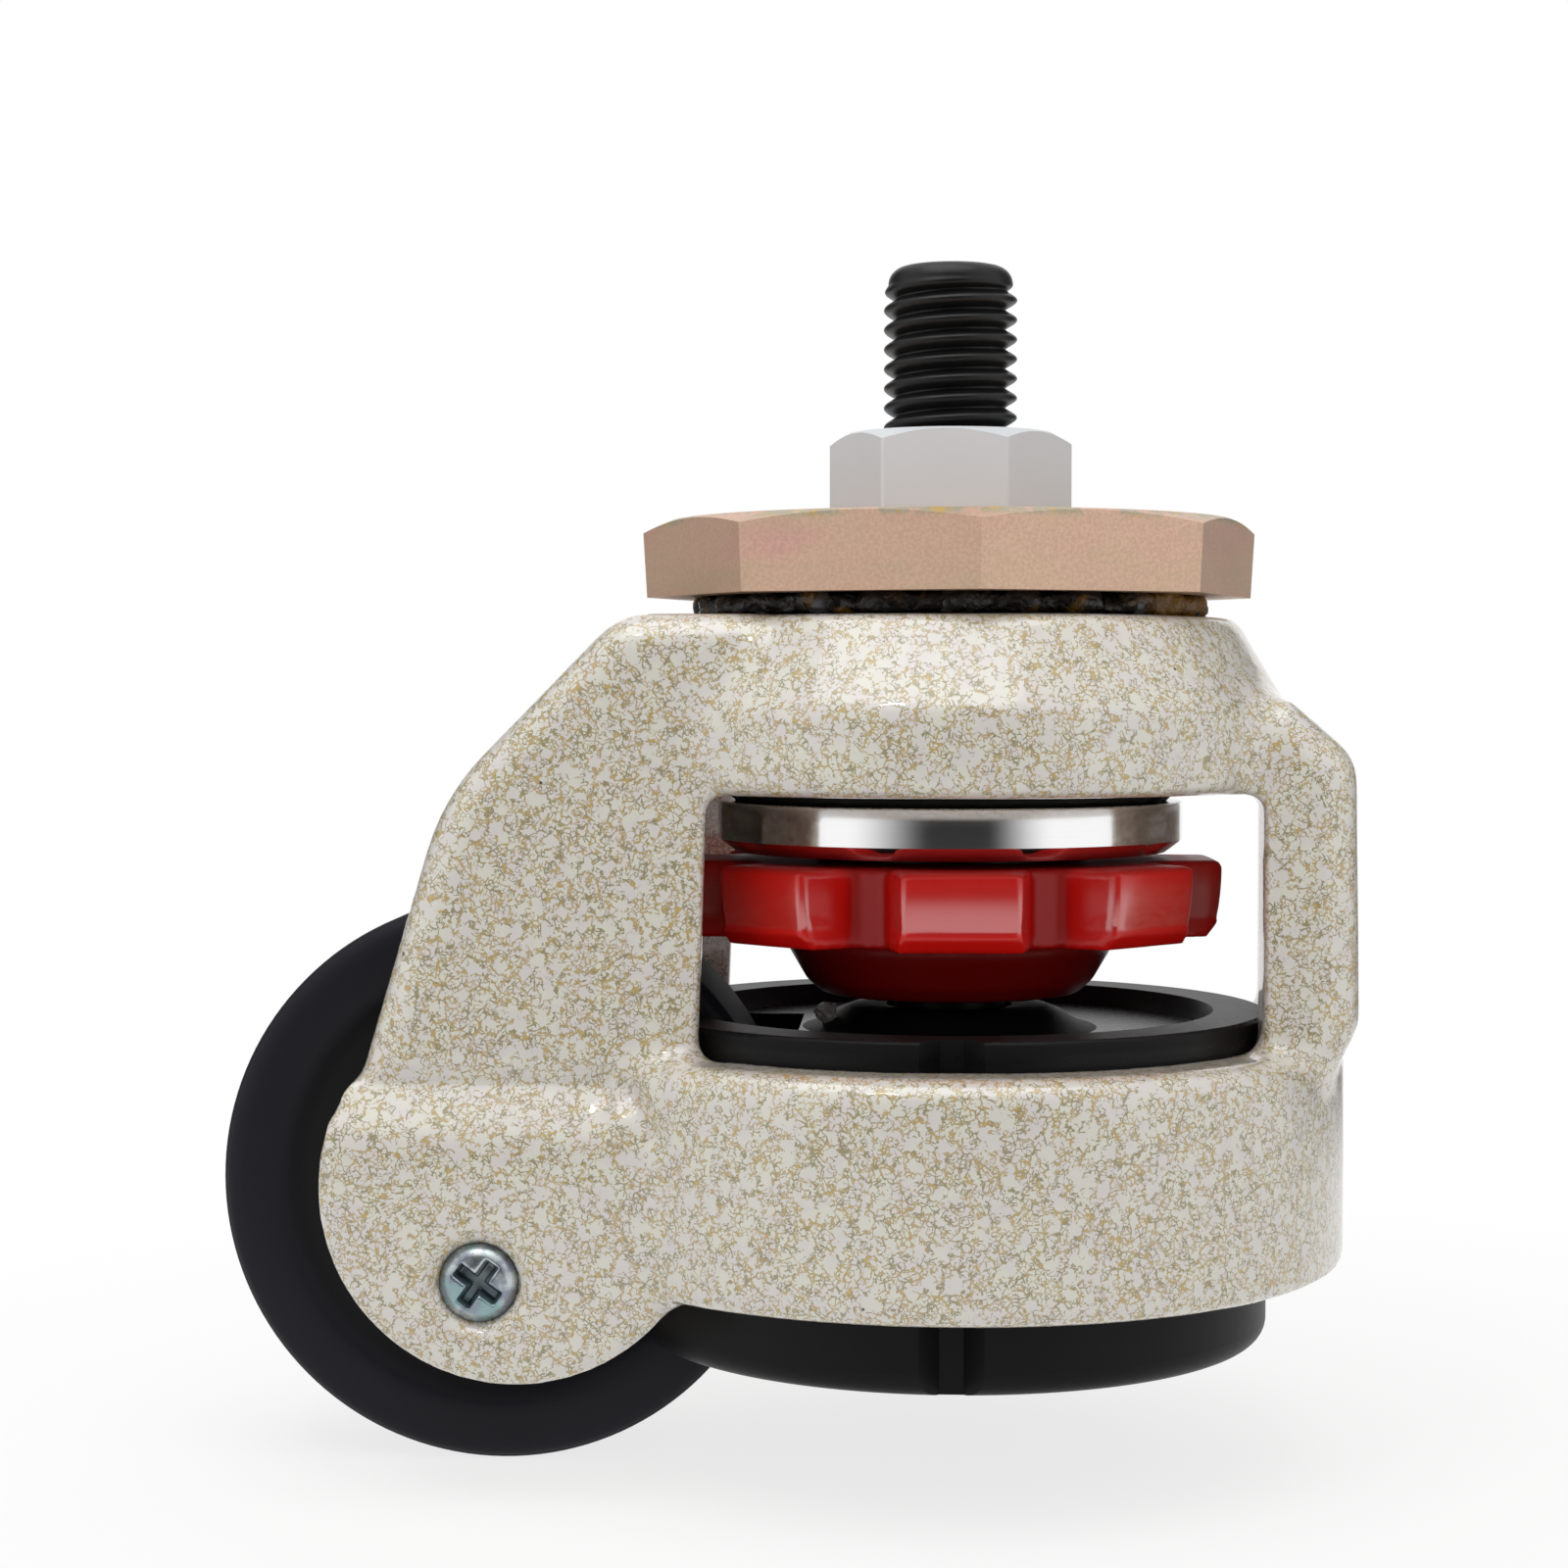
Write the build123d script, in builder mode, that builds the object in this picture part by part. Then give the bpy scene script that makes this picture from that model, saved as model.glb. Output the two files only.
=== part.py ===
"""Levelling castor with an M12 stem, a 50 mm nylon wheel and a foot that a thumbwheel screws down.

The origin is on the swivel axis, on the face of the stem nut that the machine sits on. +Z is up along the
stem, and the wheel trails towards -X. Heights are first given above the floor under the wheel.
"""

from build123d import *
from math import atan2, cos, degrees, pi, radians, sin, tan
import os

# ---- driving dimensions, millimetres ------------------------------------------------------------------

# heights above the floor
seat_height = 91.4
stem_tip_height = 106.4
plate_top = 83.5
plate_bottom = 76.7
head_top = 74.8
head_band_top = 66.6
window_top = 59.6
window_bottom = 37.4
ring_bottom = 17.6
race_top = 58.5
race_bottom = 54.0
dial_top = 53.3
dial_bottom = 46.5
cone_bottom = 41.2
pad_top = 39.8
pad_floor = 38.0
pad_bottom = 10.5

# stem, nut and plate
stem_radius = 6.0
stem_core_radius = 5.2
nut_across_flats = 19.0
plate_radius = 27.3
plate_draft = 3.1
plate_turn = -85.2

# bearings
upper_ball_radius = 2.38
upper_pitch_radius = 20.4
upper_ball_count = 24
lower_ball_radius = 1.985
lower_pitch_radius = 16.0
lower_ball_count = 20
race_radius = 20.9
ball_play = 0.1
pin_radius = 10.8
pin_lip_radius = 11.9
pin_neck_radius = 8.5

# housing
head_radius = 25.5
band_radius = 30.3
ring_radius = 35.2
bore_radius = 28.8
cheek_half_width = 22.0
boss_half_width = 24.5
pocket_half_width = 10.0
pillar_half_width = 17.0
pillar_front = 35.0
window_rear = -21.3
window_front = 26.5
far_window_front = 29.5

# wheel and axle
wheel_radius = 25.0
wheel_offset = 39.7
wheel_half_width = 8.5
wheel_height = wheel_radius
axle_radius = 4.0
axle_half_length = 18.5
bush_radius = 5.6
bush_half_length = 9.3
running_gap = 0.05

# axle screws
screw_offset = 39.55
screw_height = 18.8
screw_head_radius = 3.4
screw_head_height = 1.9
screw_shank_radius = 1.75
screw_length = 12.0
counterbore_radius = 3.7
counterbore_depth = 1.9

# thumbwheel and levelling screw
lobe_count = 8
lobe_reach = 24.0
lobe_half_width = 5.1
valley_reach = 19.4
valley_half_width = 1.45
lobe_turn = -88.0
lift_radius = 5.0
lift_screw_top = 70.0
ball_end_radius = 7.0
ball_end_height = 33.8
nut_body_radius = 9.0
nut_body_bottom = 44.0
nut_neck_radius = 7.12
nut_neck_top = 59.2
clip_groove_radius = 6.5
clip_bottom = 57.6
clip_thickness = 1.0

# levelling pad
pad_radius = 28.45
pad_recess_radius = 23.7
sole_radius = 25.0
sole_thickness = 2.5
cup_radius = 11.0
cup_shoulder = 37.0
slot_half_width = 9.5
slot_end = -wheel_offset + wheel_radius + 1.2


def level(height):
    """A height above the floor as a Z in the part's own frame."""
    return height - seat_height


def at_levels(points):
    """Profile points given as reach and height above the floor, put in the part's own frame."""
    return [(reach, level(height)) for reach, height in points]


def floor_plane(height):
    """A horizontal sketch plane at a height above the floor."""
    return Plane.XY.offset(level(height))


def corner_near(sketch, reach, height):
    """The corner of a sketched section nearest to a reach and a height above the floor."""
    return sketch.vertices().sort_by_distance((reach, level(height), 0))[0]


# sketch planes on the two boss faces, at the axle screws, facing outwards
screw_planes = [
    Plane(
        origin=(-screw_offset, side * boss_half_width, level(screw_height)),
        x_dir=(1, 0, 0),
        z_dir=(0, side, 0),
    )
    for side in (-1, 1)
]

os.makedirs("parts", exist_ok=True)

# ---- threaded stem ------------------------------------------------------------------------------------
# The thread itself is drawn as its crest cylinder. Inside the nut the stem is reduced to its core.

stem_foot = 77.5
tip_chamfer = 1.2
tip_rounding = 0.8

with BuildPart() as stem_stud:
    with BuildSketch(Plane.XZ):
        with BuildLine():
            Polyline(
                *at_levels([
                    (0, stem_foot),
                    (stem_core_radius, stem_foot),
                    (stem_core_radius, seat_height),
                    (stem_radius, seat_height),
                    (stem_radius, stem_tip_height - tip_chamfer),
                    (stem_radius - tip_chamfer, stem_tip_height),
                    (0, stem_tip_height),
                ]),
                close=True,
            )
        make_face()
    revolve(axis=Axis.Z)
    fillet(stem_stud.edges().group_by(Axis.Z)[-1], radius=tip_rounding)
stem_stud.part.label = "stem_stud"
export_step(stem_stud.part, "parts/stem_stud.step")

# ---- hex nut ------------------------------------------------------------------------------------------

nut_corner_radius = nut_across_flats / 2 / cos(radians(30))
nut_turn = -63.5
nut_edge_rounding = 0.5
nut_chamfer_radius = 9.2
nut_chamfer_drop = (nut_corner_radius - nut_chamfer_radius) * tan(radians(30))
countersink_radius = 6.4

with BuildPart() as stem_nut:
    with BuildSketch(floor_plane(plate_top)):
        RegularPolygon(radius=nut_corner_radius, side_count=6, rotation=nut_turn)
        Circle(stem_core_radius, mode=Mode.SUBTRACT)
    extrude(amount=seat_height - plate_top)
    fillet(stem_nut.edges().filter_by(Axis.Z).filter_by(GeomType.LINE), radius=nut_edge_rounding)
    with BuildSketch(Plane.XZ):
        with BuildLine():
            Polyline(
                *at_levels([
                    (nut_chamfer_radius, seat_height),
                    (nut_corner_radius, seat_height - nut_chamfer_drop),
                    (nut_corner_radius + 1, seat_height - nut_chamfer_drop),
                    (nut_corner_radius + 1, seat_height),
                ]),
                close=True,
            )
        make_face()
        with BuildLine():
            Polyline(
                *at_levels([
                    (stem_core_radius, seat_height),
                    (countersink_radius, seat_height),
                    (stem_core_radius, seat_height - countersink_radius + stem_core_radius),
                ]),
                close=True,
            )
        make_face()
    revolve(axis=Axis.Z, mode=Mode.SUBTRACT)
stem_nut.part.label = "stem_nut"
export_step(stem_nut.part, "parts/stem_nut.step")

# ---- octagonal swivel plate ---------------------------------------------------------------------------

plate_cone_radius = 25.2
plate_cone_drop = 2.04
plate_reach = 30.0
upper_ball_height = (plate_bottom + head_top) / 2

with BuildPart() as swivel_plate:
    with BuildSketch(floor_plane(plate_bottom)):
        RegularPolygon(radius=plate_radius, side_count=8, rotation=plate_turn)
    extrude(amount=plate_top - plate_bottom, taper=-plate_draft)
    with BuildSketch(Plane.XZ):
        with BuildLine():
            Polyline(
                *at_levels([
                    (plate_cone_radius, plate_top),
                    (plate_reach, plate_top - plate_cone_drop),
                    (plate_reach, plate_top + 1),
                    (plate_cone_radius, plate_top + 1),
                ]),
                close=True,
            )
        make_face()
    revolve(axis=Axis.Z, mode=Mode.SUBTRACT)
    with BuildSketch(Plane.XZ):
        with Locations((upper_pitch_radius, level(upper_ball_height))):
            Circle(upper_ball_radius)
    revolve(axis=Axis.Z, mode=Mode.SUBTRACT)
    with Locations((0, 0, level(plate_top))):
        Hole(radius=pin_neck_radius)
swivel_plate.part.label = "swivel_plate"
export_step(swivel_plate.part, "parts/swivel_plate.step")

# ---- king pin -----------------------------------------------------------------------------------------
# Hollow, so that the levelling screw can rise inside it. Its lip carries the lower race.

pin_bore_radius = 7.2
pin_cavity_radius = 8.7
pin_cavity_top = 74.5
pin_step = 57.5
pin_foot = dial_top + running_gap

with BuildPart() as king_pin:
    with BuildSketch(Plane.XZ):
        with BuildLine():
            Polyline(
                *at_levels([
                    (pin_bore_radius, pin_foot),
                    (pin_lip_radius, pin_foot),
                    (pin_lip_radius, race_bottom),
                    (pin_radius, race_bottom),
                    (pin_radius, plate_bottom),
                    (pin_neck_radius, plate_bottom),
                    (pin_neck_radius, plate_top),
                    (stem_core_radius, plate_top),
                    (stem_core_radius, stem_foot),
                    (pin_cavity_radius, pin_cavity_top),
                    (pin_cavity_radius, pin_step),
                    (pin_bore_radius, pin_step),
                ]),
                close=True,
            )
        make_face()
    revolve(axis=Axis.Z)
king_pin.part.label = "king_pin"
export_step(king_pin.part, "parts/king_pin.step")

# ---- ball rows ----------------------------------------------------------------------------------------

lower_ball_height = race_top + 1.1

with BuildPart() as upper_balls:
    with Locations((0, 0, level(upper_ball_height))):
        with PolarLocations(upper_pitch_radius, upper_ball_count):
            Sphere(upper_ball_radius)
upper_balls.part.label = "upper_balls"
export_step(upper_balls.part, "parts/upper_balls.step")

with BuildPart() as lower_balls:
    with Locations((0, 0, level(lower_ball_height))):
        with PolarLocations(lower_pitch_radius, lower_ball_count):
            Sphere(lower_ball_radius)
lower_balls.part.label = "lower_balls"
export_step(lower_balls.part, "parts/lower_balls.step")

# ---- lower race, a bright turned disc -----------------------------------------------------------------

race_cone_radius = 19.4
race_cone_top = race_bottom + 1.1
race_edge_chamfer = 0.25

with BuildPart() as lower_race:
    with BuildSketch(Plane.XZ):
        with BuildLine():
            Polyline(
                *at_levels([
                    (pin_radius, race_bottom),
                    (race_cone_radius, race_bottom),
                    (race_radius, race_cone_top),
                    (race_radius, race_top - race_edge_chamfer),
                    (race_radius - race_edge_chamfer, race_top),
                    (pin_radius, race_top),
                ]),
                close=True,
            )
        make_face()
        with Locations((lower_pitch_radius, level(lower_ball_height))):
            Circle(lower_ball_radius, mode=Mode.SUBTRACT)
    revolve(axis=Axis.Z)
lower_race.part.label = "lower_race"
export_step(lower_race.part, "parts/lower_race.step")

# ---- hardened ball tracks set in the housing ----------------------------------------------------------

upper_track_inner = 15.5
upper_track_outer = 23.4
upper_track_depth = 3.5
lower_track_inner = 13.2
lower_track_outer = 19.0
lower_track_bottom = 60.2
lower_track_top = 63.2

with BuildPart() as upper_track:
    with BuildSketch(Plane.XZ):
        with BuildLine():
            Polyline(
                *at_levels([
                    (upper_track_inner, head_top - upper_track_depth),
                    (upper_track_outer, head_top - upper_track_depth),
                    (upper_track_outer, head_top),
                    (upper_track_inner, head_top),
                ]),
                close=True,
            )
        make_face()
        with Locations((upper_pitch_radius, level(upper_ball_height))):
            Circle(upper_ball_radius + ball_play, mode=Mode.SUBTRACT)
    revolve(axis=Axis.Z)
upper_track.part.label = "upper_track"
export_step(upper_track.part, "parts/upper_track.step")

with BuildPart() as lower_track:
    with BuildSketch(Plane.XZ):
        with BuildLine():
            Polyline(
                *at_levels([
                    (lower_track_inner, lower_track_bottom),
                    (lower_track_outer, lower_track_bottom),
                    (lower_track_outer, lower_track_top),
                    (lower_track_inner, lower_track_top),
                ]),
                close=True,
            )
        make_face()
        with Locations((lower_pitch_radius, level(lower_ball_height))):
            Circle(lower_ball_radius + ball_play, mode=Mode.SUBTRACT)
    revolve(axis=Axis.Z)
lower_track.part.label = "lower_track"
export_step(lower_track.part, "parts/lower_track.step")

# ---- housing, one die casting: head, ring, pillar, cheeks, roof and axle bosses -----------------------

# side outline of the cheeks
roof_corner = (-28.0, 74.9)
shoulder_corner = (-43.1, 59.5)
cheek_foot = (-51.8, 30.0)
cheek_root = -12.0
roof_rounding = 6.0
shoulder_rounding = 20.0
cheek_edge_rounding = 3.2

# side outline of the axle bosses, and the sloped ledge on top of them
lobe_centre = (-36.6, 26.7)
lobe_radius = 16.5
boss_root = -16.0
boss_foot = ring_bottom - 0.4
boss_corner_reach = (lobe_radius**2 - (lobe_centre[1] - boss_foot) ** 2) ** 0.5
boss_corner_rounding = 3.5
boss_edge_rounding = 1.2
boss_front_limit = -10.0
ledge_top = 35.5
ledge_foot = 32.0
ledge_rear = -50.5
ledge_inner = 21.5
ledge_lead = 0.7

# side outline of the pillar
pillar_root = 20.0
pillar_outline_points = [
    (pillar_root, 30.5),
    (30.5, 30.5),
    (pillar_front, 39.8),
    (pillar_front - 0.3, 62.6),
    (28.6, 67.9),
    (pillar_root, 67.9),
]
pillar_corner_rounding = 4.5
pillar_edge_rounding = 4.0

with BuildPart() as cheek_block:
    with BuildSketch(Plane.XZ) as cheek_outline:
        with BuildLine():
            Polyline(
                *at_levels([
                    (cheek_root, roof_corner[1]),
                    roof_corner,
                    shoulder_corner,
                    cheek_foot,
                    (cheek_root, cheek_foot[1]),
                ]),
                close=True,
            )
        make_face()
        fillet(corner_near(cheek_outline, *roof_corner), radius=roof_rounding)
        fillet(corner_near(cheek_outline, *shoulder_corner), radius=shoulder_rounding)
    extrude(amount=cheek_half_width, both=True)
    fillet(cheek_block.faces().filter_by(Axis.Y).edges(), radius=cheek_edge_rounding)

with BuildPart() as boss_block:
    with BuildSketch(Plane.XZ) as boss_outline:
        with Locations((lobe_centre[0], level(lobe_centre[1]))):
            Circle(lobe_radius)
        with BuildLine():
            Polyline(
                *at_levels([
                    (lobe_centre[0], boss_foot),
                    (boss_root, boss_foot),
                    (boss_root, ledge_top),
                    (ledge_rear, ledge_top),
                    (lobe_centre[0] - lobe_radius, lobe_centre[1]),
                ]),
                close=True,
            )
        make_face()
        with Locations((lobe_centre[0], level(ledge_top))):
            Rectangle(
                4 * lobe_radius, lobe_radius, align=(Align.CENTER, Align.MIN), mode=Mode.SUBTRACT
            )
        fillet(
            corner_near(boss_outline, lobe_centre[0] + boss_corner_reach, boss_foot),
            radius=boss_corner_rounding,
        )
    extrude(amount=boss_half_width, both=True)
    with BuildSketch(Plane.YZ.offset(boss_front_limit)):
        with BuildLine():
            Polyline(
                *at_levels([
                    (ledge_inner, ledge_top + ledge_lead),
                    (boss_half_width, ledge_foot),
                    (boss_half_width + 1, ledge_foot),
                    (boss_half_width + 1, ledge_top + ledge_lead),
                ]),
                close=True,
            )
        make_face()
        mirror(about=Plane.YZ)
    extrude(amount=-4 * lobe_radius, mode=Mode.SUBTRACT)
    fillet(boss_block.faces().sort_by(Axis.Y)[0].edges(), radius=boss_edge_rounding)
    fillet(boss_block.faces().sort_by(Axis.Y)[-1].edges(), radius=boss_edge_rounding)

with BuildPart() as pillar_block:
    with BuildSketch(Plane.XZ) as pillar_outline:
        with BuildLine():
            Polyline(*at_levels(pillar_outline_points), close=True)
        make_face()
        fillet(pillar_outline.vertices().sort_by(Axis.X)[-2:], radius=pillar_corner_rounding)
    extrude(amount=pillar_half_width, both=True)
    fillet(pillar_block.faces().filter_by(Axis.Y).edges(), radius=pillar_edge_rounding)

head_rounding = 1.6
ring_top_rounding = 2.2
ring_foot_rounding = 1.2
window_lean = 0.8
window_rounding = 1.2
pocket_clearance = 2.0
pocket_roof_corner = (-33.0, window_top)
pocket_rear_corner = (-38.6, 54.7)
pin_clearance = 0.4
rib_root_radius = bore_radius + 0.4
rib_root_half_width = 2.3
rib_tip_radius = 27.0
rib_tip_half_width = 0.8
rib_foot = ring_bottom + 0.8
rib_top = window_bottom - 2.0

with BuildPart() as housing:
    with BuildSketch(Plane.XZ) as head_profile:
        with BuildLine():
            Polyline(
                *at_levels([
                    (0, window_top),
                    (band_radius, window_top),
                    (band_radius, head_band_top),
                    (head_radius, head_top),
                    (0, head_top),
                ]),
                close=True,
            )
        make_face()
        fillet(head_profile.vertices().sort_by(Axis.X)[-3:], radius=head_rounding)
    revolve(axis=Axis.Z)
    with BuildSketch(Plane.XZ) as ring_profile:
        with BuildLine():
            Polyline(
                *at_levels([
                    (0, ring_bottom),
                    (ring_radius, ring_bottom),
                    (ring_radius, window_bottom),
                    (0, window_bottom),
                ]),
                close=True,
            )
        make_face()
        fillet(corner_near(ring_profile, ring_radius, window_bottom), radius=ring_top_rounding)
        fillet(corner_near(ring_profile, ring_radius, ring_bottom), radius=ring_foot_rounding)
    revolve(axis=Axis.Z)
    add(cheek_block.part)
    add(boss_block.part)
    add(pillar_block.part)
    # the two windows, one through cut with round corners
    with BuildSketch(Plane.XZ) as window_outline:
        with BuildLine():
            Polyline(
                *at_levels([
                    (window_rear, window_bottom),
                    (window_front, window_bottom),
                    (window_front, window_top),
                    (window_rear + window_lean, window_top),
                ]),
                close=True,
            )
        make_face()
        fillet(window_outline.vertices(), radius=window_rounding)
    extrude(amount=ring_radius + 5, both=True, mode=Mode.SUBTRACT)
    # the far window is longer towards the pillar
    with BuildSketch(floor_plane(window_bottom)):
        with BuildLine():
            Polyline(
                (0, 0),
                (bore_radius, 0),
                (far_window_front, pillar_half_width),
                (far_window_front, pillar_half_width + 5),
                (0, pillar_half_width + 5),
                close=True,
            )
        make_face()
    extrude(amount=window_top - window_bottom, mode=Mode.SUBTRACT)
    # bore for the pad, which also clears the foot of the bosses
    with BuildSketch(floor_plane(0)):
        Circle(bore_radius)
    extrude(amount=window_top, mode=Mode.SUBTRACT)
    # wheel pocket, with the roof about 5 mm thick over it
    with BuildSketch(Plane.XZ):
        with Locations((-wheel_offset, level(wheel_height))):
            Circle(wheel_radius + pocket_clearance)
        with BuildLine():
            Polyline(
                *at_levels([
                    (boss_root, window_top),
                    pocket_roof_corner,
                    pocket_rear_corner,
                    (-wheel_offset, wheel_height),
                    (boss_root, wheel_height),
                ]),
                close=True,
            )
        make_face()
    extrude(amount=pocket_half_width, both=True, mode=Mode.SUBTRACT)
    # king pin bore and track seats
    with Locations((0, 0, level(head_top))):
        Hole(radius=pin_radius + pin_clearance, depth=head_top - window_top)
    with BuildSketch(floor_plane(head_top - upper_track_depth)):
        Circle(upper_track_outer)
    extrude(amount=2 * upper_track_depth, mode=Mode.SUBTRACT)
    with BuildSketch(floor_plane(window_top)):
        Circle(lower_track_outer)
    extrude(amount=lower_track_top - window_top, mode=Mode.SUBTRACT)
    # axle slots, open downwards, in the inner faces of the cheeks
    with BuildSketch(Plane.XZ):
        with Locations((-wheel_offset, level(wheel_height))):
            Circle(axle_radius)
        with Locations((-wheel_offset, level(wheel_height / 2))):
            Rectangle(2 * axle_radius, wheel_height)
    extrude(amount=axle_half_length, both=True, mode=Mode.SUBTRACT)
    # counterbored holes for the axle screws
    for screw_plane in screw_planes:
        with BuildSketch(screw_plane):
            Circle(counterbore_radius)
        extrude(amount=-counterbore_depth, mode=Mode.SUBTRACT)
        with BuildSketch(screw_plane):
            Circle(screw_shank_radius)
        extrude(amount=-(boss_half_width - axle_half_length + 1), mode=Mode.SUBTRACT)
    # guide ribs that keep the pad from turning
    with BuildSketch(floor_plane(rib_foot)):
        with BuildLine():
            Polyline(
                (-rib_root_half_width, rib_root_radius),
                (-rib_tip_half_width, rib_tip_radius),
                (rib_tip_half_width, rib_tip_radius),
                (rib_root_half_width, rib_root_radius),
                close=True,
            )
        make_face()
        mirror(about=Plane.XZ)
    extrude(amount=rib_top - rib_foot)
housing.part.label = "housing"
export_step(housing.part, "parts/housing.step")

# ---- axle blocks, which fill the slots under the axle, with their screws and the thrust washers -------

keeper_bottom = 13.5
screw_head_rounding = 1.2
recess_reach = 4.3
recess_width = 1.1
recess_depth = 1.4
recess_taper = 10
recess_turn = 55.0
washer_radius = 7.5
washer_thickness = 0.6

for side, screw_plane in zip(("near", "far"), screw_planes):
    direction = screw_plane.z_dir.Y
    inner_plane = Plane.XZ.offset(-direction * pocket_half_width)
    with BuildPart() as axle_keeper:
        with BuildSketch(inner_plane):
            with Locations((-wheel_offset, level((keeper_bottom + wheel_height) / 2))):
                Rectangle(2 * axle_radius, wheel_height - keeper_bottom)
            with Locations((-wheel_offset, level(wheel_height))):
                Circle(axle_radius, mode=Mode.SUBTRACT)
        extrude(amount=-direction * (axle_half_length - pocket_half_width))
        with BuildSketch(screw_plane):
            Circle(screw_shank_radius)
        extrude(amount=-screw_length, mode=Mode.SUBTRACT)
    name = f"axle_keeper_{side}"
    axle_keeper.part.label = name
    export_step(axle_keeper.part, f"parts/{name}.step")

    with BuildPart() as axle_screw:
        with BuildSketch(screw_plane.offset(-counterbore_depth)):
            Circle(screw_head_radius)
        extrude(amount=screw_head_height)
        outer_edge = axle_screw.edges().sort_by(Axis.Y)[-1 if direction > 0 else 0]
        fillet(outer_edge, radius=screw_head_rounding)
        with BuildSketch(screw_plane.offset(screw_head_height - counterbore_depth)):
            Rectangle(recess_reach, recess_width, rotation=recess_turn)
            Rectangle(recess_width, recess_reach, rotation=recess_turn)
        extrude(amount=-recess_depth, taper=recess_taper, mode=Mode.SUBTRACT)
        with BuildSketch(screw_plane.offset(-counterbore_depth)):
            Circle(screw_shank_radius)
        extrude(amount=-(screw_length - counterbore_depth))
    name = f"axle_screw_{side}"
    axle_screw.part.label = name
    export_step(axle_screw.part, f"parts/{name}.step")

    with BuildPart() as thrust_washer:
        with BuildSketch(inner_plane):
            with Locations((-wheel_offset, level(wheel_height))):
                Circle(washer_radius)
                Circle(axle_radius, mode=Mode.SUBTRACT)
        extrude(amount=direction * washer_thickness)
    name = f"thrust_washer_{side}"
    thrust_washer.part.label = name
    export_step(thrust_washer.part, f"parts/{name}.step")

# ---- axle, bush and wheel -----------------------------------------------------------------------------

axle_chamfer = 0.5
axle_plane = Plane(origin=(-wheel_offset, 0, level(wheel_height)), x_dir=(1, 0, 0), z_dir=(0, -1, 0))

with BuildPart() as axle:
    with BuildSketch(axle_plane):
        Circle(axle_radius)
    extrude(amount=axle_half_length, both=True)
    chamfer(axle.edges().filter_by(GeomType.CIRCLE), length=axle_chamfer)
axle.part.label = "axle"
export_step(axle.part, "parts/axle.step")

with BuildPart() as wheel_bush:
    with BuildSketch(axle_plane):
        Circle(bush_radius)
        Circle(axle_radius + running_gap, mode=Mode.SUBTRACT)
    extrude(amount=bush_half_length, both=True)
wheel_bush.part.label = "wheel_bush"
export_step(wheel_bush.part, "parts/wheel_bush.step")

wheel_axis = Axis((-wheel_offset, 0, level(wheel_height)), (0, 1, 0))
hub_radius = 9.0
hub_foot_radius = 10.0
tyre_inner_radius = 18.6
web_radius = 18.0
web_half_width = 7.5
tyre_rounding = 0.9

with BuildPart() as wheel:
    with BuildSketch(Plane.YZ.offset(-wheel_offset)) as wheel_section:
        with BuildLine():
            Polyline(
                *at_levels([
                    (-bush_half_length, wheel_height + bush_radius),
                    (-bush_half_length, wheel_height + hub_radius),
                    (-web_half_width, wheel_height + hub_foot_radius),
                    (-web_half_width, wheel_height + web_radius),
                    (-wheel_half_width, wheel_height + tyre_inner_radius),
                    (-wheel_half_width, wheel_height + wheel_radius),
                    (wheel_half_width, wheel_height + wheel_radius),
                    (wheel_half_width, wheel_height + tyre_inner_radius),
                    (web_half_width, wheel_height + web_radius),
                    (web_half_width, wheel_height + hub_foot_radius),
                    (bush_half_length, wheel_height + hub_radius),
                    (bush_half_length, wheel_height + bush_radius),
                ]),
                close=True,
            )
        make_face()
        fillet(wheel_section.vertices().group_by(Axis.Y)[-1], radius=tyre_rounding)
    revolve(axis=wheel_axis)
wheel.part.label = "wheel"
export_step(wheel.part, "parts/wheel.step")

# ---- thumbwheel with eight lobes and a cone under it --------------------------------------------------

half_pitch = pi / lobe_count
lobe_corner_rounding = 0.6
lobe_rim_rounding = 0.4
lobe_foot_reach = 22.6
lobe_foot_taper = degrees(atan2(lobe_reach - lobe_foot_reach, 1.7))
cone_root_radius = 14.8
cone_side = (14.6, 45.3)
cone_knee = (12.9, 42.4)
cone_foot = (11.5, cone_bottom)
cone_rounding = 0.8
screw_clearance = 0.6


def valley_point(side, along):
    """A point on the flat of a valley, a distance along it from its middle towards the lobe."""
    return (
        valley_reach * cos(half_pitch) + along * sin(half_pitch),
        side * (valley_reach * sin(half_pitch) - along * cos(half_pitch)),
    )


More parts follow.
